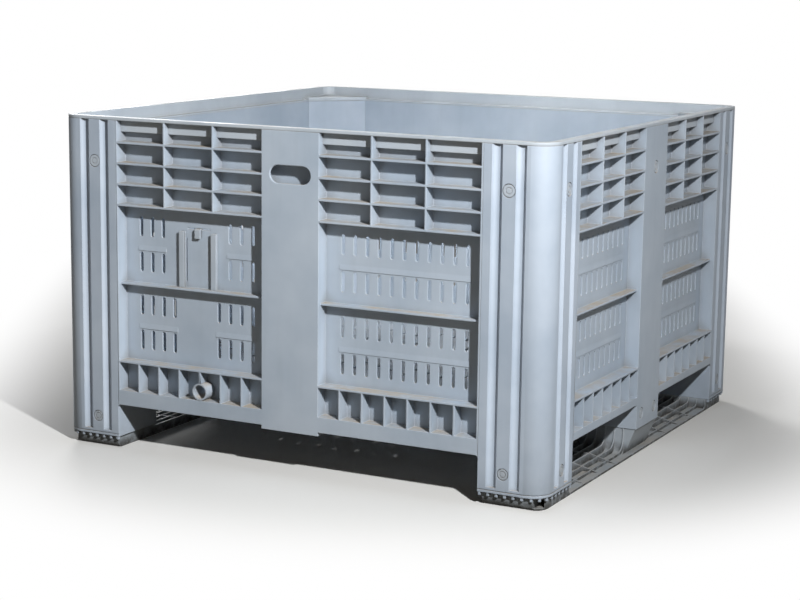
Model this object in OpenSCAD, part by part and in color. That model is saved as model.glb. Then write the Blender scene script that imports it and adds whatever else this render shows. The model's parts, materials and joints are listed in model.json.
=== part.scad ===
// Vented orchard fruit bin, built from panels: four walls, four posts, a rim, a floor and two skids.
// Millimetres, +Z up, origin on the ground under the centre. The front wall faces -Y.

/* [Overall] */
// Outside width, left to right
bin_w = 1165; // [1080:5:1300]
// Outside depth, front to back
bin_d = 1165; // [1080:5:1300]
// Height from the ground to the top of the rim
bin_h = 734; // [700:1:820]

/* [Heights from the ground] */
// Underside of the floor and lower edge of the side aprons
underside_h = 117; // [112:1:130]
// Lower edge of the front and back aprons
end_apron_h = 101; // [98:1:112]
// Joint between a corner leg and its skid
joint_h = 27; // [24:1:36]
// Joint between a side leg and its skid
leg_joint_h = 61; // [50:1:70]
// Foot of the front and back pillars
pillar_foot_h = 93; // [80:1:98]
// Middle of the pins that hold the corner legs to the skids
lower_pin_h = 69; // [60:1:75]
// Middle of the pins that hold the side legs to the skids
leg_pin_h = 94; // [85:1:100]

/* [Walls] */
// Depth of the bays, outer face to skin
bay_depth = 32; // [29:1:40]
// Thickness of the skin
skin_t = 4; // [3:0.5:6]
// Thickness of the shelves
shelf_t = 4.5; // [3:0.5:7]
// Thickness of the upright ribs
rib_t = 4; // [3:0.5:6]
// Thickness of the end plates that meet the posts
end_t = 4; // [3:0.5:6]
// Width of the centre pillars
pillar_w = 137; // [120:1:160]
// Thickness of the pillars' faces and cheeks
pillar_t = 4; // [3:0.5:6]
// Thickness of the aprons
apron_t = 4; // [3:0.5:6]
// Radius where an apron runs into a leg
apron_fillet_r = 5; // [2:0.5:10]
// Height of the cells in the foot band
band_cell_h = 62; // [45:1:70]
// Cells in the foot band of one bay
band_cells = 7; // [5:1:9]
// Clear height of one vented panel
panel_h = 168.5; // [150:0.5:180]
// How far the middle shelf stops short of the outer face
shelf_setback = 10; // [0:1:20]
// Rows of cells in the top grid
grid_rows = 4; // [2:1:5]
// How much taller the top row of cells is than the others
top_row_extra = 4.5; // [0:0.5:8]
// Columns of cells in the top grid of one bay
grid_columns = 3; // [2:1:5]

/* [Vents] */
// Width of a slot
slot_w = 8; // [6:0.5:12]
// Height of a slot
slot_h = 43.5; // [30:0.5:54]
// Columns of slots in one bay
slot_columns = 11; // [7:1:13]
// Bay edge to the middle of the first column
slot_margin = 40; // [25:1:50]
// Gap between the two rows of one panel
slot_row_gap = 34; // [20:1:40]
// How far the brow over the lower slots stands out
brow_t = 1.2; // [0.4:0.2:2]
// Height over which a brow fades out upward
brow_h = 12; // [6:1:16]
// Tops of the lower slots to their brow
brow_over = 3; // [1:0.5:6]

/* [Hand holes] */
// Width of the hand holes in the front and back pillars
hand_w = 96; // [80:1:110]
// Height of the hand holes
hand_h = 37; // [34:1:50]
// Rim top to the middle of the hand holes
hand_drop = 97; // [80:1:120]
// Radius of the rounded outer edge of the hand holes
hand_edge_r = 2.5; // [1:0.5:3]

/* [Posts] */
// Width of a post on each outer face
post_w = 145.5; // [140:0.5:170]
// Thickness of the post walls
post_t = 4; // [3:0.5:5]
// Radius of the bin's upright corners
corner_r = 45; // [30:1:50]
// Width of a flute
flute_w = 22; // [16:1:26]
// Depth of a flute
flute_depth = 8; // [4:0.5:9]
// Corner to the middle of the outer flute
outer_flute_u = 64.5; // [62:0.5:68]
// Corner to the middle of the inner flute
inner_flute_u = 115.5; // [113:0.5:120]
// Width of the lip that closes a leg's foot
foot_lip_w = 16; // [14:0.5:16]
// Thickness of that lip
foot_lip_t = 6; // [4:0.5:8]
// Height of the plain land between the lip and the flutes
foot_land_h = 6; // [3:0.5:12]
// Height of the groove over the lip
foot_groove_h = 1.5; // [1:0.5:3]
// Depth of that groove
foot_groove_d = 1.5; // [0.5:0.5:2]
// Distance between the teeth that hang from the lip
tooth_pitch = 18.5; // [14:0.5:24]
// Teeth round the corner of one leg
corner_teeth = 3; // [2:1:4]
// Width of a tooth
tooth_w = 6; // [4:0.5:8]
// Height of a tooth
tooth_h = 7; // [4:0.5:9]

/* [Rim] */
// Thickness of the top flange
rim_t = 7; // [5:0.5:10]
// Outer face to the upstand under the flange
rim_setback = 16; // [14:0.5:18]
// Thickness of the upstand
rim_wall_t = 4; // [3:0.5:6]
// Rim top to the top of the ledge inside it
ledge_drop = 28; // [22:1:36]
// Thickness of the ledge
ledge_t = 4; // [3:0.5:6]
// Height of the pads that stand on the ledge in the corners
corner_pad_t = 6; // [3:0.5:10]

/* [Floor] */
// Depth of the floor with its ribs
deck_t = 13; // [10:1:24]
// Thickness of the floor plate
deck_plate_t = 4.5; // [3:0.5:7]
// Thickness of the floor ribs
deck_rib_t = 4; // [3:0.5:6]
// Cells between the floor ribs along each side
deck_cells = 8; // [6:1:9]
// Slots in one floor cell
deck_slots = 3; // [2:1:4]
// Width of a floor slot
deck_slot_w = 9; // [6:0.5:12]
// Length of a floor slot
deck_slot_l = 84; // [50:1:90]

/* [Skids] */
// Width of a skid
skid_w = 130; // [110:1:132]
// How far a skid stands back under the legs
skid_inset = 8; // [6:0.5:10]
// Height of the runner in the fork windows
runner_h = 21; // [16:1:24]
// Height of the runner along its outer edge
runner_edge_h = 5; // [5:0.5:10]
// Outer edge to where the runner is full height
crown_w = 64; // [46:1:80]
// Thickness of the runner's sole
sole_t = 4; // [3:0.5:5]
// Lengthwise webs of one skid
skid_webs = 7; // [4:1:8]
// Thickness of the webs and cross ribs
skid_web_t = 3; // [2:0.5:5]
// Thickness of the upright plates and seats
skid_plate_t = 5; // [4:0.5:7]
// How far the webs stand out from the upright plates
web_reveal = 2.5; // [1:0.5:5]
// Leg's face to the top of the leaning wall under a side leg
lean_top = 3; // [1:0.5:6]
// Leg's face to the foot of that wall
lean_foot = 27; // [18:1:28]
// Radius at the foot of the plates under a leg
foot_fillet_r = 18; // [10:1:22]
// Radius of the runner's nose at each end
nose_r = 15; // [8:1:18]
// Radius where the webs rise to a leg
web_fillet_r = 26; // [15:1:30]
// Radius where the webs rise to a corner
end_fillet_r = 10; // [4:1:11]
// Cross ribs in one fork window
window_ribs = 3; // [2:1:6]

/* [Pins] */
// Diameter of the upper pin heads
upper_head_d = 25; // [20:0.5:28]
// Diameter of the lower pin heads
lower_head_d = 22; // [18:0.5:26]
// Diameter of the pin shanks
shank_d = 12; // [8:0.5:14]
// Thickness of a pin head
head_t = 2.5; // [2:0.5:3]
// How far a head lies below the face
head_recess = 0.5; // [0:0.1:1]
// Width of the ring groove round a head
head_ring = 1.5; // [0.6:0.1:2]
// Diameter of the raised middle of a head
head_middle_d = 11; // [8:0.5:12]
// Width of the groove round that middle
head_groove_w = 1.6; // [0.8:0.2:2.4]
// Depth of that groove
head_groove_d = 1; // [0.4:0.2:1.4]
// Corner to the middle of a post pin
pin_u = 90; // [88:0.5:92]
// Rim top to the middle of the upper pins
pin_drop = 97; // [90:1:110]
// Edge of a side leg to the middle of its pins
leg_pin_edge = 28.5; // [26:0.5:40]

/* [Tongues] */
// Outer face to a tongue
tongue_depth = 17; // [16.5:0.5:19]
// Thickness of a tongue
tongue_t = 7; // [5:0.5:8]
// Length of a wall tongue inside its post
tongue_l = 72; // [70:1:76]
// Height of a wall tongue
tongue_h = 56; // [40:1:70]
// Width of a skid tongue in a corner leg
foot_tongue_w = 80; // [70:1:84]
// Height of a skid tongue above its pins
tongue_over_pin = 22; // [16:1:22]

/* [Drain spout] */
// Outer diameter of the spout
spout_d = 37; // [30:0.5:42]
// Bore of the spout
spout_bore_d = 30; // [24:0.5:34]
// Diameter of the flange inside the bin
spout_flange_d = 44; // [40:0.5:45]
// Thickness of that flange
spout_flange_t = 3; // [2:0.5:5]
// Band cell, counted from the left post, after which the spout sits
spout_after_cell = 4; // [2:1:5]

/* [Card holder] */
// Outside width over the two channels
card_w = 94; // [80:1:110]
// Height of the channels
card_h = 121; // [100:1:140]
// How far the holder sits toward the pillar from the middle of its bay
card_shift = 7; // [0:1:12]
// Width of one channel
channel_w = 13; // [8:0.5:16]
// How far a channel stands out from the skin
channel_d = 8; // [5:0.5:10]
// Thickness of the channel walls
channel_t = 2; // [1.5:0.5:3]
// Width of the catch
catch_w = 14; // [8:0.5:18]
// Height of the catch
catch_h = 21; // [12:1:24]
// Thickness of the catch
catch_t = 4; // [3:0.5:6]
// How far the catch stands off the skin
catch_gap = 4; // [3:0.5:6]
// Length of the slits beside the catch
slit_l = 22; // [12:1:28]
// Height of the slits
slit_h = 3; // [2:0.5:5]
// Tops of the channels to the slits
slit_over = 5; // [2:1:12]
// Width of the long slit beside each channel
card_slit_w = 3; // [2:0.5:6]
// Diameter of the pegs that hold the channels
peg_d = 5; // [4:0.5:6]

/* [Hidden] */
$fn = 64;

// Sides, counted as quarter turns from the front
front = 0;
right = front + 1;
back = right + 1;
left = back + 1;

// Clearance between pieces that slide into each other
fit_gap = 0.2;
// How far a cut runs past the face it opens
overrun = 5;
// Straight steps in the round end of a slot
slot_steps = 4;
// Depth of the bosses behind the pin heads, and their wall
boss_depth = 12;
boss_wall = 10;
// How far the pins reach past their tongues, and their tapered tips
pin_past = 3;
tip_taper = 2;
// Depth of a plug behind the pillar face
plug_depth = 10;
// Share of a channel's height at which its pegs sit
peg_shares = [0.2, 0.8];
// How far the cross ribs stay below the webs
rib_drop = 1.5;
// Gap in front of and behind a tooth
tooth_gap = 0.5;
// Columns of slots that stay on each side of the card, and of the bare place below it
card_columns = 3;
bare_columns = 4;

// Levels of the wall, from the floor up
floor_h = underside_h + deck_t;
band_z = floor_h + shelf_t;
band_top = band_z + band_cell_h + shelf_t;
middle_top = band_top + panel_h + shelf_t;
grid_z = middle_top + panel_h + shelf_t;
flange_z = bin_h - rim_t;
seat_z = bin_h - ledge_drop - ledge_t;
grid_pitch = (flange_z - grid_z + shelf_t - top_row_extra) / grid_rows;
wall_depth = bay_depth + skin_t;
upper_pin_h = bin_h - pin_drop;
hand_z = bin_h - hand_drop;
brow_z = (panel_h - slot_row_gap) / 2 + brow_over;
leg_depth = skid_inset + skid_w;
leg_pin_x = pillar_w / 2 - leg_pin_edge;
pin_l = tongue_depth + tongue_t + pin_past;
flute_r = (flute_w * flute_w / 4 + flute_depth * flute_depth) / (2 * flute_depth);

body_colour = "#A9B4C0";
skid_colour = "#8F969C";
pin_colour = "#B4BEC9";

// Frames

// Frame of one side: x along the wall, y inward from the outer face
module on_side(turn) {
    half = turn % 2 == 0 ? bin_d / 2 : bin_w / 2;
    rotate([0, 0, 90 * turn])
        translate([0, -half, 0])
            children();
}

// Frame of one corner: x and y inward from the two outer faces
module at_corner(is_right, is_back) {
    mirror([is_right, 0, 0])
        mirror([0, is_back, 0])
            translate([-bin_w / 2, -bin_d / 2, 0])
                children();
}

// Frame of one skid: x inward from the outer face, y along the skid
module at_skid(is_right) {
    mirror([is_right, 0, 0])
        translate([-bin_w / 2, 0, 0])
            children();
}

// An outline in x and z, given thickness inward from a depth
module upright(depth, thickness) {
    translate([0, depth + thickness, 0])
        rotate([90, 0, 0])
            linear_extrude(thickness)
                children();
}

// A plan outline between two heights
module between(low, high) {
    translate([0, 0, low])
        linear_extrude(high - low)
            children();
}

// A shape turned so that its axis runs inward from the outer face
module inward(x, z) {
    translate([x, 0, z])
        rotate([-90, 0, 0])
            children();
}

function wall_l(turn) = (turn % 2 == 0 ? bin_w : bin_d) - 2 * post_w;
function bay_w(turn) = wall_l(turn) / 2 - end_t - pillar_w / 2;

// Both bays of a wall, each drawn from its pillar outward
module both_bays() {
    for (flip = [0, 1])
        mirror([flip, 0, 0])
            translate([pillar_w / 2, 0, 0])
                children();
}

// Walls

module slot(width, height) {
    reach = height / 2 - width / 2;
    polygon([
        for (end = [0, 1], step = [0 : slot_steps])
            let (angle = 180 * (end + step / slot_steps))
            [width / 2 * cos(angle), (1 - 2 * end) * reach + width / 2 * sin(angle)]
    ]);
}

function slot_pitch(width) = (width - 2 * slot_margin) / (slot_columns - 1);

// The two rows of slots of one panel, drawn from the pillar outward
module panel_slots(width, base, columns) {
    pitch = slot_pitch(width);
    for (column = columns, row = [-1, 1])
        translate([slot_margin + column * pitch, base + panel_h / 2 + row * (slot_h + slot_row_gap) / 2])
            slot(slot_w, slot_h);
}

// Columns that stay when the middle ones are left out
function outer_columns(kept) = [
    for (column = [0 : slot_columns - 1])
        if (column < kept || column >= slot_columns - kept) column
];

// Foot of a panel: the lower one or the upper one
function panel_base(upper) = upper ? middle_top : band_top;

// Columns kept on each side of a panel: all, or fewer in the left bay when it has the card holder
function panel_kept(is_left, upper, card) =
    !(is_left && card) ? slot_columns : upper ? card_columns : bare_columns;

module skin(turn, card) {
    width = wall_l(turn);
    upright(bay_depth, skin_t)
        difference() {
            translate([-width / 2, floor_h])
                square([width, seat_z - floor_h]);
            for (is_left = [false, true], upper = [false, true])
                mirror([is_left ? 1 : 0, 0])
                    translate([pillar_w / 2, 0])
                        panel_slots(bay_w(turn), panel_base(upper),
                            outer_columns(panel_kept(is_left, upper, card)));
        }
}

// A brow over the lower slots of one panel, drawn from the pillar outward
module slot_brow(width, base, first, columns) {
    pitch = slot_pitch(width);
    root = bay_depth + skin_t / 2;
    translate([slot_margin + first * pitch - slot_w, 0, base + brow_z])
        rotate([90, 0, 90])
            linear_extrude((columns - 1) * pitch + 2 * slot_w)
                polygon([[bay_depth - brow_t, 0], [root, 0], [root, brow_h], [bay_depth, brow_h]]);
}

module wall_brows(turn, card) {
    for (is_left = [false, true], upper = [false, true])
        let (kept = panel_kept(is_left, upper, card))
            for (first = kept < slot_columns ? [0, slot_columns - kept] : [0])
                mirror([is_left ? 1 : 0, 0, 0])
                    translate([pillar_w / 2, 0, 0])
                        slot_brow(bay_w(turn), panel_base(upper), first, kept);
}

// The open grid at the top of one bay, without the rim above it
module grid_outline(width) {
    pitch = (width + rib_t) / grid_columns;
    difference() {
        translate([0, grid_z - shelf_t])
            square([width, flange_z - grid_z + shelf_t]);
        for (column = [0 : grid_columns - 1], row = [0 : grid_rows - 1])
            translate([column * pitch, grid_z + row * grid_pitch])
                square([pitch - rib_t, grid_pitch - (row < grid_rows - 1 ? shelf_t : -overrun)]);
    }
}

// The band of cells at the foot of one bay
module band_outline(width) {
    pitch = (width + rib_t) / band_cells;
    difference() {
        translate([0, floor_h])
            square([width, band_top - floor_h]);
        for (cell = [0 : band_cells - 1])
            translate([cell * pitch, band_z])
                square([pitch - rib_t, band_cell_h]);
    }
}

// A quarter-round fillet that fills the corner of two faces
module fillet(radius) {
    difference() {
        square(radius);
        translate([radius, radius])
            circle(radius);
    }
}

// The apron below one bay, with fillets where it meets a post or a leg
module apron_outline(width, leg) {
    foot = leg ? underside_h : end_apron_h;
    translate([0, foot])
        square([width + end_t, floor_h - foot]);
    translate([width + end_t, foot])
        rotate(180)
            fillet(apron_fillet_r);
    if (leg)
        translate([0, foot])
            mirror([0, 1])
                fillet(apron_fillet_r);
}

module pillar(foot) {
    between(foot, flange_z)
        difference() {
            translate([-pillar_w / 2, 0])
                square([pillar_w, bay_depth]);
            translate([pillar_t - pillar_w / 2, pillar_t])
                square([pillar_w - 2 * pillar_t, bay_depth]);
        }
}

// The leg below a side pillar: a box open below, with a lip round its foot
module side_leg() {
    between(leg_joint_h, underside_h)
        difference() {
            translate([-pillar_w / 2, 0])
                square([pillar_w, leg_depth]);
            translate([pillar_t - pillar_w / 2, pillar_t])
                square([pillar_w - 2 * pillar_t, leg_depth - 2 * pillar_t]);
        }
    between(leg_joint_h, leg_joint_h + foot_lip_t)
        difference() {
            translate([-pillar_w / 2, 0])
                square([pillar_w, leg_depth]);
            translate([foot_lip_w - pillar_w / 2, foot_lip_w])
                square([pillar_w - 2 * foot_lip_w, leg_depth - 2 * foot_lip_w]);
        }
    between(underside_h - pillar_t, underside_h)
        translate([-pillar_w / 2, bay_depth])
            square([pillar_w, leg_depth - bay_depth]);
}

module wall_tongue(turn) {
    translate([wall_l(turn) / 2 - end_t, tongue_depth, upper_pin_h - tongue_h / 2])
        cube([tongue_l + end_t, tongue_t, tongue_h]);
}

module wall_frame(turn, leg, card) {
    width = bay_w(turn);
    skin(turn, card);
    wall_brows(turn, card);
    both_bays() {
        upright(0, bay_depth) {
            grid_outline(width);
            band_outline(width);
        }
        upright(0, apron_t)
            apron_outline(width, leg);
        translate([0, shelf_setback, middle_top - shelf_t])
            cube([width, bay_depth - shelf_setback, shelf_t]);
        translate([width, 0, floor_h])
            cube([end_t, bay_depth, flange_z - floor_h]);
    }
    for (flip = [0, 1])
        mirror([flip, 0, 0])
            wall_tongue(turn);
    pillar(leg ? leg_joint_h : pillar_foot_h);
    if (leg) {
        side_leg();
        for (x = [-leg_pin_x, leg_pin_x])
            boss(x, leg_pin_h, lower_head_d);
        boss(0, upper_pin_h, upper_head_d);
    } else {
        hand_pocket();
    }
}

// Step at the top of walls and posts that takes the rim's upstand and ledge
module rim_seat(turn) {
    reach = wall_l(turn) / 2 + overrun;
    translate([-reach, rim_setback, seat_z])
        cube([2 * reach, wall_depth, bin_h]);
}

// The hand hole, with its outer edge rounded
module hand_hole() {
    reach = (hand_w - hand_h) / 2;
    translate([0, 0, hand_z]) {
        upright(-overrun, pillar_t + 2 * overrun) {
            square([2 * reach, hand_h], center = true);
            for (x = [-reach, reach])
                translate([x, 0])
                    circle(d = hand_h);
        }
        for (x = [-reach, reach])
            inward(x, 0)
                rotate_extrude()
                    translate([hand_h / 2, 0])
                        fillet(hand_edge_r);
        for (flip = [0, 1])
            mirror([0, 0, flip])
                translate([-reach, 0, hand_h / 2])
                    rotate([90, 0, 90])
                        linear_extrude(2 * reach)
                            fillet(hand_edge_r);
    }
}

// Plates that close the pillar above and below the hand hole
module hand_pocket() {
    reach = hand_h / 2 + hand_edge_r + pillar_t;
    for (z = [hand_z - reach - pillar_t, hand_z + reach])
        translate([-pillar_w / 2, 0, z])
            cube([pillar_w, bay_depth, pillar_t]);
}

module wall(turn, leg = false, card = false, spout = false) {
    difference() {
        wall_frame(turn, leg, card);
        rim_seat(turn);
        for (x = [-1, 1])
            inward(x * (wall_l(turn) / 2 + post_w - pin_u), upper_pin_h)
                cylinder(d = shank_d + 2 * fit_gap, h = wall_depth);
        if (leg) {
            for (x = [-leg_pin_x, leg_pin_x])
                pin_hole(x, leg_pin_h, lower_head_d);
            pin_hole(0, upper_pin_h, upper_head_d);
        } else {
            hand_hole();
        }
        if (spout)
            inward(spout_x, spout_z)
                cylinder(d = spout_d + 2 * fit_gap, h = wall_depth + overrun);
        if (card)
            card_openings();
    }
}

// Pins, and what takes them

module boss(x, z, head_d) {
    inward(x, z)
        translate([0, 0, head_recess])
            cylinder(d = head_d + boss_wall, h = boss_depth - head_recess);
}

module pin_hole(x, z, head_d) {
    inward(x, z) {
        translate([0, 0, -overrun])
            cylinder(d = head_d + 2 * head_ring, h = overrun + head_recess + head_t);
        cylinder(d = shank_d + 2 * fit_gap, h = boss_depth + overrun);
    }
}

module pin(x, z, head_d, length) {
    head_r = head_d / 2;
    middle_r = head_middle_d / 2;
    groove_r = middle_r + head_groove_w;
    groove = head_recess + head_groove_d;
    shank_r = shank_d / 2;
    seat = head_recess + head_t;
    inward(x, z)
        rotate_extrude()
            polygon([
                [0, head_recess], [middle_r, head_recess], [middle_r, groove], [groove_r, groove],
                [groove_r, head_recess], [head_r, head_recess], [head_r, seat], [shank_r, seat],
                [shank_r, length - tip_taper], [shank_r - tip_taper, length], [0, length]
            ]);
}

// Posts

// The outer faces of a post, as far in as it reaches
module post_outline(inset, reach) {
    radius = corner_r - inset;
    difference() {
        translate([inset, inset])
            square(reach - inset);
        translate([inset, inset])
            difference() {
                square(radius);
                translate([radius, radius])
                    circle(radius);
            }
    }
}

// The half plane outside the slanted inner face, moved outward by an inset
module slant(inset) {
    edge = post_w - inset;
    throat = wall_depth + inset - inset * sqrt(2);
    polygon([[0, 0], [edge, 0], [edge, throat], [throat, edge], [0, edge]]);
}

// Backs of the flutes, which keep the wall's thickness behind them
module flute_backs() {
    for (flip = [0, 1], u = [outer_flute_u, inner_flute_u])
        mirror([flip, -flip])
            translate([u, flute_depth - flute_r])
                circle(flute_r + post_t);
}

module post_hollow(reach) {
    difference() {
        post_outline(post_t, reach);
        flute_backs();
    }
}

module flute(u) {
    bottom = joint_h + foot_lip_t + foot_land_h;
    translate([u, flute_depth - flute_r, bottom])
        cylinder(r = flute_r, h = bin_h - bottom);
}

// One face's bosses, in the corner frame
module post_bosses() {
    boss(pin_u, upper_pin_h, upper_head_d);
    boss(pin_u, lower_pin_h, lower_head_d);
}

// Teeth that hang from the foot of a leg, in front of the skid
module post_teeth() {
    size = [tooth_w, skid_inset - 2 * tooth_gap, tooth_h + foot_lip_t / 2];
    translate([0, 0, joint_h - tooth_h]) {
        for (flip = [0, 1])
            mirror([flip, -flip, 0])
                for (u = [corner_r : tooth_pitch : post_w - tooth_w])
                    translate([u, tooth_gap, 0])
                        cube(size);
        for (tooth = [1 : corner_teeth])
            translate([corner_r, corner_r, 0])
                rotate(-90 * tooth / (corner_teeth + 1))
                    translate([-tooth_w / 2, tooth_gap - corner_r, 0])
                        cube(size);
    }
}

// The groove round the outside of a leg, over its lip
module foot_groove() {
    between(joint_h + foot_lip_t - foot_groove_h / 2, joint_h + foot_lip_t + foot_groove_h / 2)
        difference() {
            post_outline(0, post_w + overrun);
            post_outline(foot_groove_d, post_w + 2 * overrun);
        }
}

module post_shell() {
    web_z = underside_h - post_t;
    between(joint_h, web_z)
        difference() {
            post_outline(0, post_w);
            post_hollow(post_w - post_t);
        }
    between(joint_h, joint_h + foot_lip_t)
        difference() {
            post_outline(0, post_w);
            translate([foot_lip_w, foot_lip_w])
                square(post_w - 2 * foot_lip_w);
        }
    between(web_z, underside_h)
        difference() {
            post_outline(0, post_w);
            intersection() {
                post_hollow(post_w);
                slant(post_t);
            }
        }
    between(underside_h, seat_z)
        difference() {
            intersection() {
                post_outline(0, post_w);
                slant(0);
            }
            intersection() {
                post_hollow(post_w);
                slant(post_t);
            }
        }
    between(seat_z, flange_z)
        difference() {
            post_outline(0, post_w);
            post_outline(rim_setback, post_w + overrun);
        }
}

module post() {
    window = tongue_h + 2 * fit_gap;
    difference() {
        union() {
            post_shell();
            post_teeth();
            for (flip = [0, 1])
                mirror([flip, -flip, 0])
                    post_bosses();
        }
        foot_groove();
        for (flip = [0, 1])
            mirror([flip, -flip, 0]) {
                flute(outer_flute_u);
                flute(inner_flute_u);
                pin_hole(pin_u, upper_pin_h, upper_head_d);
                pin_hole(pin_u, lower_pin_h, lower_head_d);
                translate([post_w - post_t - overrun, tongue_depth - fit_gap, upper_pin_h - window / 2])
                    cube([post_t + 2 * overrun, tongue_t + 2 * fit_gap, window]);
            }
    }
}

// Rim

// The bin's outline in plan, drawn in by an inset
module bin_outline(inset) {
    radius = corner_r - inset;
    width = bin_w - 2 * inset;
    depth = bin_d - 2 * inset;
    difference() {
        square([width, depth], center = true);
        for (x = [0, 1], y = [0, 1])
            mirror([x, 0])
                mirror([0, y])
                    translate([-width / 2, -depth / 2])
                        fillet(radius);
    }
}

// The clear inside of the walls and posts in plan
module inside_outline() {
    difference() {
        square([bin_w - 2 * wall_depth, bin_d - 2 * wall_depth], center = true);
        for (x = [0, 1], y = [0, 1])
            mirror([x, 0])
                mirror([0, y])
                    translate([-bin_w / 2, -bin_d / 2])
                        slant(0);
    }
}

module top_rim() {
    ledge_top = seat_z + ledge_t;
    color(body_colour) {
        between(flange_z, bin_h)
            difference() {
                bin_outline(0);
                bin_outline(rim_setback + rim_wall_t);
            }
        between(seat_z, flange_z)
            difference() {
                bin_outline(rim_setback);
                bin_outline(rim_setback + rim_wall_t);
            }
        between(seat_z, ledge_top)
            difference() {
                bin_outline(rim_setback);
                inside_outline();
            }
        between(seat_z, ledge_top + corner_pad_t)
            intersection() {
                bin_outline(rim_setback);
                for (x = [0, 1], y = [0, 1])
                    mirror([x, 0])
                        mirror([0, y])
                            translate([-bin_w / 2, -bin_d / 2])
                                slant(0);
            }
    }
}

// Floor

module deck_outline(inset) {
    edge = apron_t + fit_gap + inset;
    gap = fit_gap + inset;
    difference() {
        square([bin_w - 2 * edge, bin_d - 2 * edge], center = true);
        for (x = [0, 1], y = [0, 1])
            mirror([x, 0])
                mirror([0, y])
                    translate([-bin_w / 2, -bin_d / 2])
                        slant(-gap);
        for (turn = [front, right, back, left])
            rotate(90 * turn)
                translate([0, -(turn % 2 == 0 ? bin_d : bin_w) / 2])
                    translate([-pillar_w / 2 - gap, 0])
                        square([pillar_w + 2 * gap, bay_depth + gap]);
    }
}

module deck_slots_plan(pitch_x, pitch_y) {
    step = (pitch_x - deck_rib_t) / deck_slots;
    for (column = [1 - deck_cells : 2 : deck_cells - 1], row = [1 - deck_cells : 2 : deck_cells - 1])
        if (abs(column) < deck_cells - 1 || abs(row) < deck_cells - 1)
            for (index = [0 : deck_slots - 1])
                translate([
                    column * pitch_x / 2 + (index - (deck_slots - 1) / 2) * step,
                    row * pitch_y / 2
                ])
                    slot(deck_slot_w, deck_slot_l);
}

module floor_deck() {
    inner_w = bin_w - 2 * wall_depth;
    inner_d = bin_d - 2 * wall_depth;
    pitch_x = inner_w / deck_cells;
    pitch_y = inner_d / deck_cells;
    color(body_colour) {
        between(floor_h - deck_plate_t, floor_h)
            difference() {
                deck_outline(0);
                deck_slots_plan(pitch_x, pitch_y);
            }
        between(underside_h, floor_h - deck_plate_t) {
            difference() {
                deck_outline(0);
                deck_outline(deck_rib_t);
            }
            intersection() {
                deck_outline(0);
                union() {
                    for (line = [-deck_cells / 2 + 1 : deck_cells / 2 - 1]) {
                        translate([line * pitch_x, 0])
                            square([deck_rib_t, bin_d], center = true);
                        translate([0, line * pitch_y])
                            square([bin_w, deck_rib_t], center = true);
                    }
                }
            }
        }
    }
}

// Skids

half_skid = bin_d / 2 - skid_inset;
window_end = bin_d / 2 - post_w - end_t;
half_leg = pillar_w / 2;

// Height of the runner at a distance inward from the bin's outer face
function crown_h(x) = runner_edge_h + (runner_h - runner_edge_h) * min(1, (x - skid_inset) / crown_w);

// Side view of a web: low in the fork windows, rising at the ends and, behind the leaning wall, to the leg
module web_outline(low_h, to_leg) {
    translate([-half_skid, 0])
        square([2 * half_skid, low_h]);
    if (to_leg)
        translate([-half_leg, 0])
            square([pillar_w, leg_joint_h]);
    for (flip = [0, 1])
        mirror([flip, 0]) {
            translate([window_end, 0])
                square([half_skid - window_end, joint_h]);
            if (to_leg)
                translate([half_leg, low_h])
                    fillet(web_fillet_r);
            translate([window_end, low_h])
                mirror([1, 0])
                    fillet(min(end_fillet_r, joint_h - low_h));
        }
}

// An outline in y and z, given width inward from a distance
module skid_slice(x, width) {
    translate([x + width, 0, 0])
        rotate([90, 0, -90])
            mirror([1, 0, 0])
                linear_extrude(width)
                    children();
}

// The skid's outline in plan, with its outer corners rounded like the posts above
module skid_plan() {
    radius = corner_r - skid_inset;
    difference() {
        translate([skid_inset, -half_skid])
            square([skid_w, 2 * half_skid]);
        for (flip = [0, 1])
            mirror([0, flip])
                translate([skid_inset, -half_skid])
                    fillet(radius);
    }
}

// The nose rounds of the runner's two ends, as a side view to keep within
module nose_outline() {
    difference() {
        translate([-half_skid, 0])
            square([2 * half_skid, leg_joint_h]);
        for (flip = [0, 1])
            mirror([flip, 0])
                translate([-half_skid, 0])
                    fillet(nose_r);
    }
}

// A cross rib, which follows the crown of the runner
module cross_rib() {
    top = runner_h - rib_drop;
    upright(-skid_web_t / 2, skid_web_t)
        polygon([
            [skid_inset, 0], [leg_depth, 0], [leg_depth, top], [skid_inset + crown_w, top],
            [skid_inset, runner_edge_h - rib_drop]
        ]);
}

// The box of upright plates under a corner leg, with a seat on top, between two places along the skid
module corner_stand(from, to) {
    for (y = [from, to - skid_plate_t])
        translate([0, y, 0])
            cube([leg_depth, skid_plate_t, joint_h]);
    translate([0, from, joint_h - skid_plate_t])
        cube([leg_depth, to - from, skid_plate_t]);
}

// Cross section of the stand under a side leg, drawn in by a wall's thickness
module leg_stand_outline(wall) {
    polygon([
        [lean_top + wall, leg_joint_h - wall], [leg_depth, leg_joint_h - wall],
        [leg_depth, 0], [lean_foot + wall, 0]
    ]);
}

// The stand under a side leg: two upright plates, a wall that leans inward to its foot, and a seat
module leg_stand(half) {
    difference() {
        upright(-half, 2 * half)
            leg_stand_outline(0);
        upright(skid_plate_t - half, 2 * (half - skid_plate_t))
            leg_stand_outline(skid_plate_t);
    }
}

module skid_webs_and_ribs() {
    web_step = (skid_w - skid_web_t) / (skid_webs - 1);
    for (web = [0 : skid_webs - 1])
        let (x = skid_inset + web * web_step)
            skid_slice(x, skid_web_t)
                web_outline(crown_h(x), x > lean_foot);
    for (flip = [0, 1])
        mirror([0, flip, 0])
            for (rib = [1 : window_ribs])
                translate([0, half_leg + (window_end - half_leg) * rib / (window_ribs + 1), 0])
                    cross_rib();
}

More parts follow.
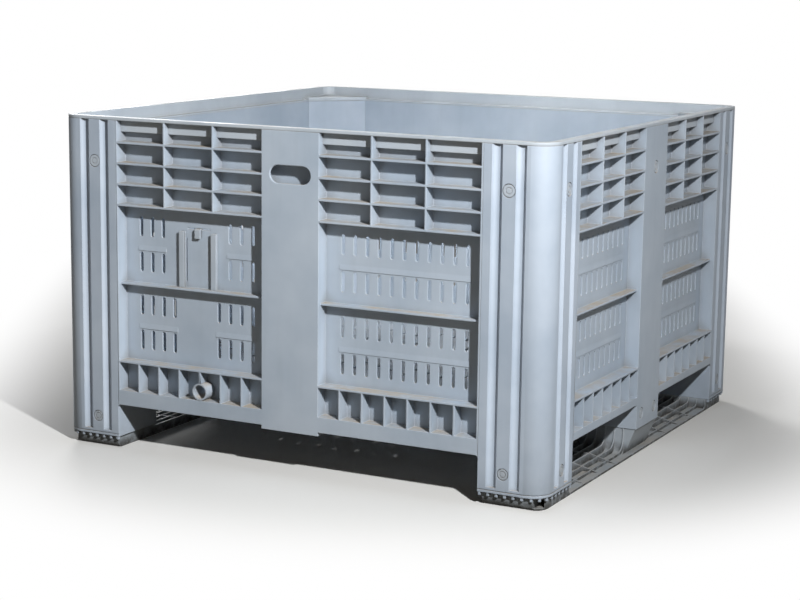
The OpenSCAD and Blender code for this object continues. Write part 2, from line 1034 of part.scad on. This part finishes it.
module skid_body() {
    leg_face = half_leg - web_reveal;
    end_face = window_end + web_reveal;
    intersection() {
        skid_slice(0, leg_depth)
            nose_outline();
        between(0, bin_h)
            skid_plan();
        union() {
            translate([0, -half_skid, 0])
                cube([leg_depth, 2 * half_skid, sole_t]);
            skid_webs_and_ribs();
            for (flip = [0, 1])
                mirror([0, flip, 0]) {
                    corner_stand(end_face, half_skid);
                    skid_slice(lean_foot, leg_depth - lean_foot)
                        translate([leg_face, sole_t])
                            fillet(foot_fillet_r);
                }
        }
    }
    leg_stand(leg_face);
}

// The tongues that stand up into the hollow legs
module skid_tongues() {
    for (flip = [0, 1])
        mirror([0, flip, 0])
            translate([0, -bin_d / 2, 0])
                for (face = [0, 1])
                    mirror([face, -face, 0])
                        translate([pin_u - foot_tongue_w / 2, tongue_depth, joint_h - skid_plate_t])
                            cube([
                                foot_tongue_w,
                                tongue_t,
                                lower_pin_h + tongue_over_pin - joint_h + skid_plate_t
                            ]);
    translate([tongue_depth, foot_lip_w + fit_gap - half_leg, leg_joint_h - skid_plate_t])
        cube([
            tongue_t,
            pillar_w - 2 * foot_lip_w - 2 * fit_gap,
            leg_pin_h + tongue_over_pin - leg_joint_h + skid_plate_t
        ]);
}

module skid(is_right) {
    color(skid_colour)
        at_skid(is_right)
            difference() {
                union() {
                    skid_body();
                    skid_tongues();
                }
                for (flip = [0, 1])
                    mirror([0, flip, 0])
                        translate([0, -bin_d / 2, 0])
                            for (face = [0, 1])
                                mirror([face, -face, 0])
                                    inward(pin_u, lower_pin_h)
                                        cylinder(d = shank_d + 2 * fit_gap, h = wall_depth);
                for (y = [-leg_pin_x, leg_pin_x])
                    translate([0, y, leg_pin_h])
                        rotate([0, 90, 0])
                            cylinder(d = shank_d + 2 * fit_gap, h = wall_depth);
            }
}

// Drain spout

spout_pitch = (bay_w(front) + rib_t) / band_cells;
spout_x = -pillar_w / 2 - bay_w(front) - rib_t / 2 + spout_after_cell * spout_pitch;
spout_z = band_z + spout_d / 2 + fit_gap;

module drain_spout() {
    inside_r = spout_bore_d / 2;
    outside_r = spout_d / 2;
    flange_r = spout_flange_d / 2;
    color(body_colour)
        on_side(front)
            inward(spout_x, spout_z)
                rotate_extrude()
                    polygon([
                        [inside_r, 0], [outside_r, 0], [outside_r, wall_depth], [flange_r, wall_depth],
                        [flange_r, wall_depth + spout_flange_t], [inside_r, wall_depth + spout_flange_t]
                    ]);
}

// Card holder

card_x = card_shift - pillar_w / 2 - bay_w(front) / 2;
card_peg_x = card_w / 2 - channel_w / 2;
card_slit_x = card_w / 2 - channel_w - card_slit_w / 2;
catch_z = middle_top + card_h + slit_over;
catch_top = catch_z + slit_h - fit_gap;

module card_openings() {
    for (side = [-1, 1], share = peg_shares)
        inward(card_x + side * card_peg_x, middle_top + share * card_h)
            cylinder(d = peg_d + 2 * fit_gap, h = wall_depth + overrun);
    upright(bay_depth - overrun, skin_t + 2 * overrun)
        translate([card_x, catch_z + slit_h / 2])
            square([catch_w + 2 * slit_l, slit_h], center = true);
    upright(bay_depth - overrun, skin_t + 2 * overrun)
        for (side = [-1, 1])
            translate([card_x + side * card_slit_x, middle_top + card_h / 2])
                square([card_slit_w, card_h - 2 * channel_w], center = true);
}

// One channel, open toward the card, standing on the middle shelf
module card_rail(side) {
    color(body_colour)
        on_side(front)
            translate([card_x, 0, 0])
                mirror([side > 0 ? 1 : 0, 0, 0]) {
                    between(middle_top, middle_top + card_h)
                        translate([-card_w / 2, bay_depth - channel_d])
                            difference() {
                                square([channel_w, channel_d]);
                                translate([channel_t, channel_t])
                                    square([channel_w, channel_d - 2 * channel_t]);
                            }
                    for (share = peg_shares)
                        translate([0, bay_depth - channel_t, 0])
                            inward(-card_peg_x, middle_top + share * card_h)
                                cylinder(d = peg_d, h = skin_t + channel_t);
                }
}

// The catch: a hook that hangs in front of the card and plugs into the slit above it
module card_latch() {
    face = bay_depth - catch_gap - catch_t;
    root = catch_z + fit_gap;
    tip = catch_z + slit_h - catch_h;
    color(body_colour)
        on_side(front)
            translate([card_x - catch_w / 2, 0, 0])
                rotate([90, 0, 90])
                    linear_extrude(catch_w)
                        polygon([
                            [wall_depth, root], [wall_depth, catch_top], [face + catch_t / 2, catch_top],
                            [face, root], [face, tip], [face + catch_t, tip], [face + catch_t, root]
                        ]);
}

// Placed pieces

module front_wall() { color(body_colour) on_side(front) wall(front, card = true, spout = true); }
module right_wall() { color(body_colour) on_side(right) wall(right, leg = true); }
module back_wall() { color(body_colour) on_side(back) wall(back); }
module left_wall() { color(body_colour) on_side(left) wall(left, leg = true); }

module post_front_left() { color(body_colour) at_corner(0, 0) post(); }
module post_front_right() { color(body_colour) at_corner(1, 0) post(); }
module post_back_left() { color(body_colour) at_corner(0, 1) post(); }
module post_back_right() { color(body_colour) at_corner(1, 1) post(); }

module left_skid() { skid(0); }
module right_skid() { skid(1); }

module card_rail_left() { card_rail(-1); }
module card_rail_right() { card_rail(1); }

// A row of pins, one on each face of each post
module post_pins(z, head_d) {
    color(pin_colour)
        for (turn = [front, right, back, left], side = [-1, 1])
            on_side(turn)
                pin(side * (wall_l(turn) / 2 + post_w - pin_u), z, head_d, pin_l);
}

module upper_post_pins() { post_pins(upper_pin_h, upper_head_d); }
module lower_post_pins() { post_pins(lower_pin_h, lower_head_d); }

module leg_pins() {
    color(pin_colour)
        for (turn = [right, left], side = [-1, 1])
            on_side(turn)
                pin(side * leg_pin_x, leg_pin_h, lower_head_d, pin_l);
}

module pillar_plugs() {
    color(pin_colour)
        for (turn = [right, left])
            on_side(turn)
                pin(0, upper_pin_h, upper_head_d, plug_depth);
}

front_wall();
right_wall();
back_wall();
left_wall();
post_front_left();
post_front_right();
post_back_left();
post_back_right();
top_rim();
floor_deck();
left_skid();
right_skid();
drain_spout();
card_rail_left();
card_rail_right();
card_latch();
upper_post_pins();
lower_post_pins();
leg_pins();
pillar_plugs();
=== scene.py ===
"""Dressed scene of a vented plastic harvest bin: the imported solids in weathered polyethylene."""
import json
import math

import bmesh
import bpy
import numpy as np
from mathutils import Matrix, Vector


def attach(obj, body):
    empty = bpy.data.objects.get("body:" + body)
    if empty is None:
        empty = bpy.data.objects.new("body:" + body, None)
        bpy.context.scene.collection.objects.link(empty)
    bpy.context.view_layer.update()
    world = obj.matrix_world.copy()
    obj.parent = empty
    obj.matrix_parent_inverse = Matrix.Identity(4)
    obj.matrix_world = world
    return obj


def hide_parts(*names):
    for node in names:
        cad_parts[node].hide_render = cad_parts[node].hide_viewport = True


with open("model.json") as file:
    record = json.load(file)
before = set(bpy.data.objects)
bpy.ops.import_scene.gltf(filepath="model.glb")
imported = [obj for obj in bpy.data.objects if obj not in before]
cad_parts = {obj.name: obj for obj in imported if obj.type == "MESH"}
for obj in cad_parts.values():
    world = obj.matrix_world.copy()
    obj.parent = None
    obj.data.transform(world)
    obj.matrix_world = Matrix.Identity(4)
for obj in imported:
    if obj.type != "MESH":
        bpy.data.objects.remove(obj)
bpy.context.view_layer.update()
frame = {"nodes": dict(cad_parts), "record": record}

MM = 0.001
WHITE = (1, 1, 1, 1)

# Edge rounding: distance within which points are joined, and the angles in degrees up to which an
# edge counts as flat and past which it counts as sharp
JOIN, FLAT, SHARP = 0.02 * MM, 1.0, 50.0
# Largest share of a narrow region's width that a round takes, and the steps in a round
NARROW_SHARE, ROUND_STEPS = 0.3, 2
# Edge radius of each material slot
EDGE_ROUND = {
    "wall_plastic": 0.8 * MM,
    "post_plastic": 1.2 * MM,
    "rim_plastic": 1.6 * MM,
    "floor_plastic": 1.0 * MM,
    "skid_plastic": 0.8 * MM,
    "pin_plastic": 0.5 * MM,
    "fitting_plastic": 0.5 * MM,
}

# Finish of each material slot: plastic, the same bleached, and what differs from the usual weather
# and painted edge highlight
FINISHES = {
    "wall_plastic": ("#A7B5C4", "#B9C5D2", {"soil": 0.15}),
    "post_plastic": ("#A6B4C4", "#BAC6D4",
                     {"soil": 0.2, "soil_top": 0.09, "scuff_and_highlight": 0.1, "rough": 0.62}),
    "rim_plastic": ("#B3BDC7", "#C3CCD4", {"dust": 0.25}),
    "floor_plastic": ("#A1ABB6", "#B0B9C3", {"dust": 0.3}),
    "skid_plastic": ("#99A3AC", "#A9B2BA",
                     {"dust": 0.4, "soil": 1.0, "soil_top": 0.036, "mud": "#343330"}),
    "pin_plastic": ("#AEB9C5", "#BDC7D1", {"scuff_and_highlight": 0.15}),
    "fitting_plastic": ("#ABB6C2", "#BAC4CE", {}),
}

# Weather, with a painted highlight on rubbed edges and painted shade in corners. A width is that of
# one patch of noise; a span is where a share rises from none to full.
PATCH_W, PATCH_SPAN = 170 * MM, (0.32, 0.68)
STREAK_W, STREAK_L = 25 * MM, 300 * MM
STREAK_SPAN, STREAK_SHARE, STREAK_COLOUR = (0.5, 0.8), 0.08, "#7F8890"
# Pale rubbed edges, partly wear and partly a painted highlight on edges that catch the light
RUB_HIGHLIGHT_R, RUB_HIGHLIGHT_SPAN, RUB_HIGHLIGHT_COLOUR = 1.6 * MM, (0.985, 0.85), "#DCDEDD"
# Grime in corners, partly dirt and partly painted shade where the corners lie in shadow
GRIME_SHADE_REACH, GRIME_SHADE_SPAN, GRIME_SHADE_SHARE, GRIME_SHADE_COLOUR = 30 * MM, (0.72, 0.25), 0.55, "#6A6258"
DRIFT_W, DRIFT_SPAN, DUST_COLOUR = 110 * MM, (0.36, 0.62), "#B3A38B"
UPWARD_SPAN = (0.45, 0.9)
SPLASH_W, SPLASH_SPAN = 18 * MM, (0.2, 0.55)
# Share of the soil that stays on faces that look up
UPWARD_SOIL_SHARE = 0.15
# Moulded grain, really about 0.3 mm wide and drawn wider so that it shows, and slow warp of faces
GRAIN_W, GRAIN_HEIGHT, GRAIN_STRENGTH = 2 * MM, 0.35 * MM, 0.12
WARP_W, WARP_HEIGHT, WARP_STRENGTH = 90 * MM, 2.5 * MM, 0.25
# Roughness under dust or soil, and the cover at which it is reached
COVERED_ROUGH, FULL_COVER = 0.9, 0.6
POLYETHYLENE_IOR = 1.54
# Rays per point for rubbed edges with their painted highlight, and for grime with painted shade
LOOK_ROUND_SAMPLES = 6

# Camera, fitted to the photograph's 800 by 600 frame
CAMERA_AT = Vector((1.9997, -3.9511, 1.0806))
YAW, PITCH, ROLL = 0.4771, 0.1775, 0.0129
FOCAL_PX, FRAME_PX = 1912.7, 800.0
SENSOR_MM = 36.0

# Round lamps: name, place, point aimed at, width in metres, watts, spread of the beam in degrees.
# The small key lamp throws the photograph's crisp shadows; the others lift the back and the inside.
LAMPS = (
    ("key_lamp", (2.10, -2.12, 1.95), (-0.84, -2.48, 1.59), 0.14, 168.0, 180),
    ("back_softbox", (-2.7, 2.9, 1.6), (0.0, 0.0, 0.45), 1.40, 15.0, 60),
    ("inside_softbox", (0.1, -1.30, 2.70), (0.1, 0.50, 0.50), 0.50, 1.3, 30),
)
# Even light from all round, weak and a little warm
FILL, FILL_COLOUR = 0.04, "#F0DCC4"

# Floor: half its width, its colour where it shows, and its colour for the light it throws back
FLOOR_REACH, FLOOR_PALE, FLOOR_EARTHY = 60.0, "#F4F4F2", "#756D60"
# Far end of the bin's shadow, and the distance from its line over which the floor turns white
SHADOW_END, WHITE_SPAN = (-1.1, 2.0, 0.0), (0.75, 1.2)


def linear(hex_colour):
    """An sRGB hex value as linear red, green, blue and alpha."""
    parts = np.array([int(hex_colour[i:i + 2], 16) / 255 for i in (1, 3, 5)])
    parts = np.where(parts <= 0.04045, parts / 12.92, ((parts + 0.055) / 1.055) ** 2.4)
    return (*parts.tolist(), 1.0)


def add(tree, kind, settings=None, **inputs):
    """Adds a node to a shader tree.

    settings are the node's own properties. Each input is a value or a (node, output) link; its
    name is the socket's with underscores for spaces, or an underscore and the socket's number.
    """
    node = tree.nodes.new(kind)
    for name, value in (settings or {}).items():
        setattr(node, name, value)
    for name, value in inputs.items():
        key = int(name[1:]) if name[0] == "_" else name.replace("_", " ")
        socket = node.inputs[key]
        if isinstance(value, tuple) and isinstance(value[0], bpy.types.Node):
            tree.links.new(value[0].outputs[value[1]], socket)
        else:
            socket.default_value = value
    return node


def noise(tree, at, width, detail, **inputs):
    """Noise in patches of a given width, as a link."""
    node = add(tree, "ShaderNodeTexNoise", Vector=at, Scale=1 / width, Detail=detail, **inputs)
    return node, "Fac"


def ramp(tree, value, span, to=(0.0, 1.0), kind="LINEAR"):
    """A value that goes from to[0] to to[1] while another goes through span, as a link."""
    node = add(tree, "ShaderNodeMapRange", {"interpolation_type": kind}, Value=value,
               From_Min=span[0], From_Max=span[1], To_Min=to[0], To_Max=to[1])
    return node, "Result"


def combine(tree, operation, first, second):
    """Two values combined by a mathematical operation, as a link."""
    return add(tree, "ShaderNodeMath", {"operation": operation}, _0=first, _1=second), "Value"


def cover(tree, share, under, over):
    """A colour covered by another to a given share, as a link."""
    # sockets 6 and 7 are the two colours, and output 2 is the mixed one
    return add(tree, "ShaderNodeMix", {"data_type": "RGBA"}, _0=share, _6=under, _7=over), 2


def emptied(holder):
    """The shader tree of a new material or world, with its default nodes removed."""
    holder.use_nodes = True
    holder.node_tree.nodes.clear()
    return holder.node_tree


def make_camera():
    forward = Vector((-math.sin(YAW) * math.cos(PITCH), math.cos(YAW) * math.cos(PITCH),
                      -math.sin(PITCH)))
    level = Vector((math.cos(YAW), math.sin(YAW), 0))
    above = level.cross(forward)
    right = math.cos(ROLL) * level + math.sin(ROLL) * above
    up = math.cos(ROLL) * above - math.sin(ROLL) * level
    data = bpy.data.cameras.new("bin_camera")
    data.sensor_width = SENSOR_MM
    data.lens = FOCAL_PX / FRAME_PX * SENSOR_MM
    camera = bpy.data.objects.new("bin_camera", data)
    turn = Matrix((right, up, -forward)).transposed().to_4x4()
    camera.matrix_world = Matrix.Translation(CAMERA_AT) @ turn
    bpy.context.scene.collection.objects.link(camera)
    bpy.context.scene.camera = camera


def shown_plainly(tree):
    """The share that is 1 for rays that show a thing: straight, mirrored or through glass."""
    path = add(tree, "ShaderNodeLightPath")
    direct = combine(tree, "MAXIMUM", (path, "Is Camera Ray"), (path, "Is Glossy Ray"))
    return combine(tree, "MAXIMUM", direct, (path, "Is Transmission Ray"))


def make_light():
    for name, at, aim, width, watts, spread in LAMPS:
        data = bpy.data.lights.new(name, "AREA")
        data.shape = "DISK"
        data.size = width
        data.energy = watts
        data.spread = math.radians(spread)
        lamp = bpy.data.objects.new(name, data)
        lamp.location = at
        lamp.rotation_euler = (Vector(aim) - Vector(at)).to_track_quat("-Z", "Y").to_euler()
        bpy.context.scene.collection.objects.link(lamp)

    world = bpy.data.worlds.new("studio")
    bpy.context.scene.world = world
    tree = emptied(world)
    even = add(tree, "ShaderNodeBackground", Color=linear(FILL_COLOUR), Strength=FILL)
    white = add(tree, "ShaderNodeBackground", Color=WHITE, Strength=1.0)
    both = add(tree, "ShaderNodeMixShader", _0=shown_plainly(tree), _1=(even, 0), _2=(white, 0))
    add(tree, "ShaderNodeOutputWorld", Surface=(both, 0))


def make_floor():
    """A flat square floor that throws little light back up.

    It is pale near the line from the bin's middle to the far end of its shadow, and white beyond.
    """
    corners = FLOOR_REACH * np.array([[-1, -1, 0], [1, -1, 0], [1, 1, 0], [-1, 1, 0]], float)
    mesh = bpy.data.meshes.new("floor")
    mesh.from_pydata(corners.tolist(), [], [(0, 1, 2, 3)])
    floor = bpy.data.objects.new("floor", mesh)
    bpy.context.scene.collection.objects.link(floor)
    material = bpy.data.materials.new("pale_studio_floor")
    tree = emptied(material)
    at = (add(tree, "ShaderNodeTexCoord"), "Object")

    # distance to the nearest point of the shadow's line
    along = add(tree, "ShaderNodeVectorMath", {"operation": "DOT_PRODUCT"}, _0=at, _1=SHADOW_END)
    share = ramp(tree, (along, "Value"), (0.0, Vector(SHADOW_END).length_squared))
    nearest = add(tree, "ShaderNodeVectorMath", {"operation": "SCALE"}, _0=SHADOW_END, Scale=share)
    away = add(tree, "ShaderNodeVectorMath", {"operation": "DISTANCE"}, _0=at, _1=(nearest, 0))
    far = ramp(tree, (away, "Value"), WHITE_SPAN, kind="SMOOTHSTEP")

    pale = add(tree, "ShaderNodeBsdfDiffuse", Color=linear(FLOOR_PALE))
    white = add(tree, "ShaderNodeEmission", Color=WHITE, Strength=1.0)
    shown = add(tree, "ShaderNodeMixShader", _0=far, _1=(pale, 0), _2=(white, 0))
    earthy = add(tree, "ShaderNodeBsdfDiffuse", Color=linear(FLOOR_EARTHY))
    both = add(tree, "ShaderNodeMixShader", _0=shown_plainly(tree), _1=(earthy, 0), _2=(shown, 0))
    add(tree, "ShaderNodeOutputMaterial", Surface=(both, 0))
    mesh.materials.append(material)


def weathered_polyethylene(name, body, bleached, dust=0.75, soil=0.45, soil_top=0.14,
                           mud="#4A463F", scuff_and_highlight=0.25, rough=0.58):
    """High-density polyethylene, injection moulded with a fine satin grain and left outdoors.

    The eye sees a soft wide sheen, slow blotches where the sun has bleached it, faint upright rain
    streaks, tan dust on every face that looks up, grime in the corners deepened as painted shade,
    dark soil that fades out upward from the ground, and pale rubbed edges brightened as a painted
    highlight. dust, soil and the edge rub with its highlight are the largest shares of each, and
    soil_top is the height in metres where the soil ends.
    """
    material = bpy.data.materials.new(name)
    tree = emptied(material)
    at = (add(tree, "ShaderNodeTexCoord"), "Object")
    height = (add(tree, "ShaderNodeSeparateXYZ", Vector=at), "Z")
    normal = (add(tree, "ShaderNodeNewGeometry"), "Normal")
    facing_up = (add(tree, "ShaderNodeSeparateXYZ", Vector=normal), "Z")

    # bleaching in patches
    tone = ramp(tree, noise(tree, at, PATCH_W, 4.0, Roughness=0.55), PATCH_SPAN)
    colour = cover(tree, tone, linear(body), linear(bleached))

    # rain streaks: noise drawn out upright
    stretch = (1 / STREAK_W, 1 / STREAK_W, 1 / STREAK_L)
    drawn = (add(tree, "ShaderNodeMapping", Vector=at, Scale=stretch), 0)
    streak = ramp(tree, noise(tree, drawn, 1.0, 3.0, Roughness=0.6), STREAK_SPAN,
                  (0.0, STREAK_SHARE))
    colour = cover(tree, streak, colour, linear(STREAK_COLOUR))

    # pale rubbed edges, brightened as a painted highlight: lighter where a normal rounded over the
    # edge leaves the true one
    rounded = (add(tree, "ShaderNodeBevel", {"samples": LOOK_ROUND_SAMPLES}, Radius=RUB_HIGHLIGHT_R), 0)
    match = add(tree, "ShaderNodeVectorMath", {"operation": "DOT_PRODUCT"}, _0=rounded, _1=normal)
    rubbed_and_highlit = ramp(tree, (match, "Value"), RUB_HIGHLIGHT_SPAN, (0.0, scuff_and_highlight))
    colour = cover(tree, rubbed_and_highlit, colour, linear(RUB_HIGHLIGHT_COLOUR))

    # grime with painted shade in corners: darker where nearby faces occlude the point
    hollow = add(tree, "ShaderNodeAmbientOcclusion", {"samples": LOOK_ROUND_SAMPLES},
                 Distance=GRIME_SHADE_REACH)
    grime_and_shade = ramp(tree, (hollow, "AO"), GRIME_SHADE_SPAN, (0.0, GRIME_SHADE_SHARE))
    colour = cover(tree, grime_and_shade, colour, linear(GRIME_SHADE_COLOUR))

    # dust in drifts on faces that look up
    drift = ramp(tree, noise(tree, at, DRIFT_W, 6.0, Roughness=0.68), DRIFT_SPAN, (0.0, dust))
    upward = ramp(tree, facing_up, UPWARD_SPAN, kind="SMOOTHSTEP")
    dusty = combine(tree, "MULTIPLY", drift, upward)
    colour = cover(tree, dusty, colour, linear(DUST_COLOUR))

    # soil splashed up from the ground onto upright faces, in specks and smears
    low = ramp(tree, height, (soil_top, 0.0), kind="SMOOTHSTEP")
    splash = ramp(tree, noise(tree, at, SPLASH_W, 6.0, Roughness=0.7), SPLASH_SPAN, (0.0, soil))
    upright = ramp(tree, upward, (0.0, 1.0), (1.0, UPWARD_SOIL_SHARE))
    soiled = combine(tree, "MULTIPLY", combine(tree, "MULTIPLY", low, splash), upright)
    colour = cover(tree, soiled, colour, linear(mud))

    # moulded grain over the warp, on the rounded normal
    bent = add(tree, "ShaderNodeBump", Strength=WARP_STRENGTH, Distance=WARP_HEIGHT,
               Height=noise(tree, at, WARP_W, 1.0), Normal=rounded)
    grained = add(tree, "ShaderNodeBump", Strength=GRAIN_STRENGTH, Distance=GRAIN_HEIGHT,
                  Height=noise(tree, at, GRAIN_W, 2.0), Normal=(bent, 0))
    dull = ramp(tree, combine(tree, "MAXIMUM", dusty, soiled), (0.0, FULL_COVER),
                (rough, COVERED_ROUGH))
    shader = add(tree, "ShaderNodeBsdfPrincipled", Base_Color=colour, Roughness=dull,
                 IOR=POLYETHYLENE_IOR, Normal=(grained, 0))
    add(tree, "ShaderNodeOutputMaterial", Surface=(shader, 0))
    return material


def face_widths(shape):
    """The width of the flat region that each face lies in: twice its area over its outline."""
    widths = {}
    for seed in shape.faces:
        if seed in widths:
            continue
        region, area, outline = {seed}, 0.0, 0.0
        waiting = [seed]
        while waiting:
            face = waiting.pop()
            area += face.calc_area()
            for edge in face.edges:
                if edge.calc_face_angle(0.0) > math.radians(FLAT):
                    outline += edge.calc_length()
                    continue
                beside = [other for other in edge.link_faces if other not in region]
                region.update(beside)
                waiting.extend(beside)
        widths.update(dict.fromkeys(region, 2 * area / outline))
    return widths


def rounded_copy(solid, radius):
    """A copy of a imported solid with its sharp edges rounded, as a mould rounds them.

    The loose triangles are joined, and each edge that turns by more than SHARP degrees gets a
    round of the given radius, or of NARROW_SHARE of the width of the narrower region beside it,
    where that is less.
    """
    shape = bmesh.new()
    shape.from_mesh(solid.data)
    bmesh.ops.remove_doubles(shape, verts=shape.verts, dist=JOIN)
    weight = shape.edges.layers.float.new("bevel_weight_edge")
    width = face_widths(shape)
    for edge in shape.edges:
        if edge.calc_face_angle(0.0) > math.radians(SHARP):
            narrower = min(width[face] for face in edge.link_faces)
            edge[weight] = min(1.0, NARROW_SHARE * narrower / radius)
    mesh = bpy.data.meshes.new(solid.name + "_rounded")
    shape.to_mesh(mesh)
    shape.free()
    piece = bpy.data.objects.new(solid.name + "_rounded", mesh)
    bpy.context.scene.collection.objects.link(piece)
    bevel = piece.modifiers.new("moulded_edges", "BEVEL")
    bevel.limit_method = "WEIGHT"
    bevel.width = radius
    bevel.segments = ROUND_STEPS
    bevel.use_clamp_overlap = False
    return piece


def finish_nodes():
    """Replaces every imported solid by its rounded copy, with the finish of its material slot."""
    finishes = {}
    for slot, (body, bleached, weather_and_highlight) in FINISHES.items():
        name = slot.replace("plastic", "polyethylene")
        finishes[slot] = weathered_polyethylene(name, body, bleached, **weather_and_highlight)
    for part in frame["record"]["subparts"]:
        node, slot = part["node"], part["material_slot"]
        solid = frame["nodes"][node]
        for held in solid.material_slots:
            held.material = finishes[slot]
        piece = rounded_copy(solid, EDGE_ROUND[slot])
        piece.data.materials.append(finishes[slot])
        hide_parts(node)
        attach(piece, "root")


make_camera()
make_light()
make_floor()
finish_nodes()

bpy.context.scene.view_settings.view_transform = "Standard"
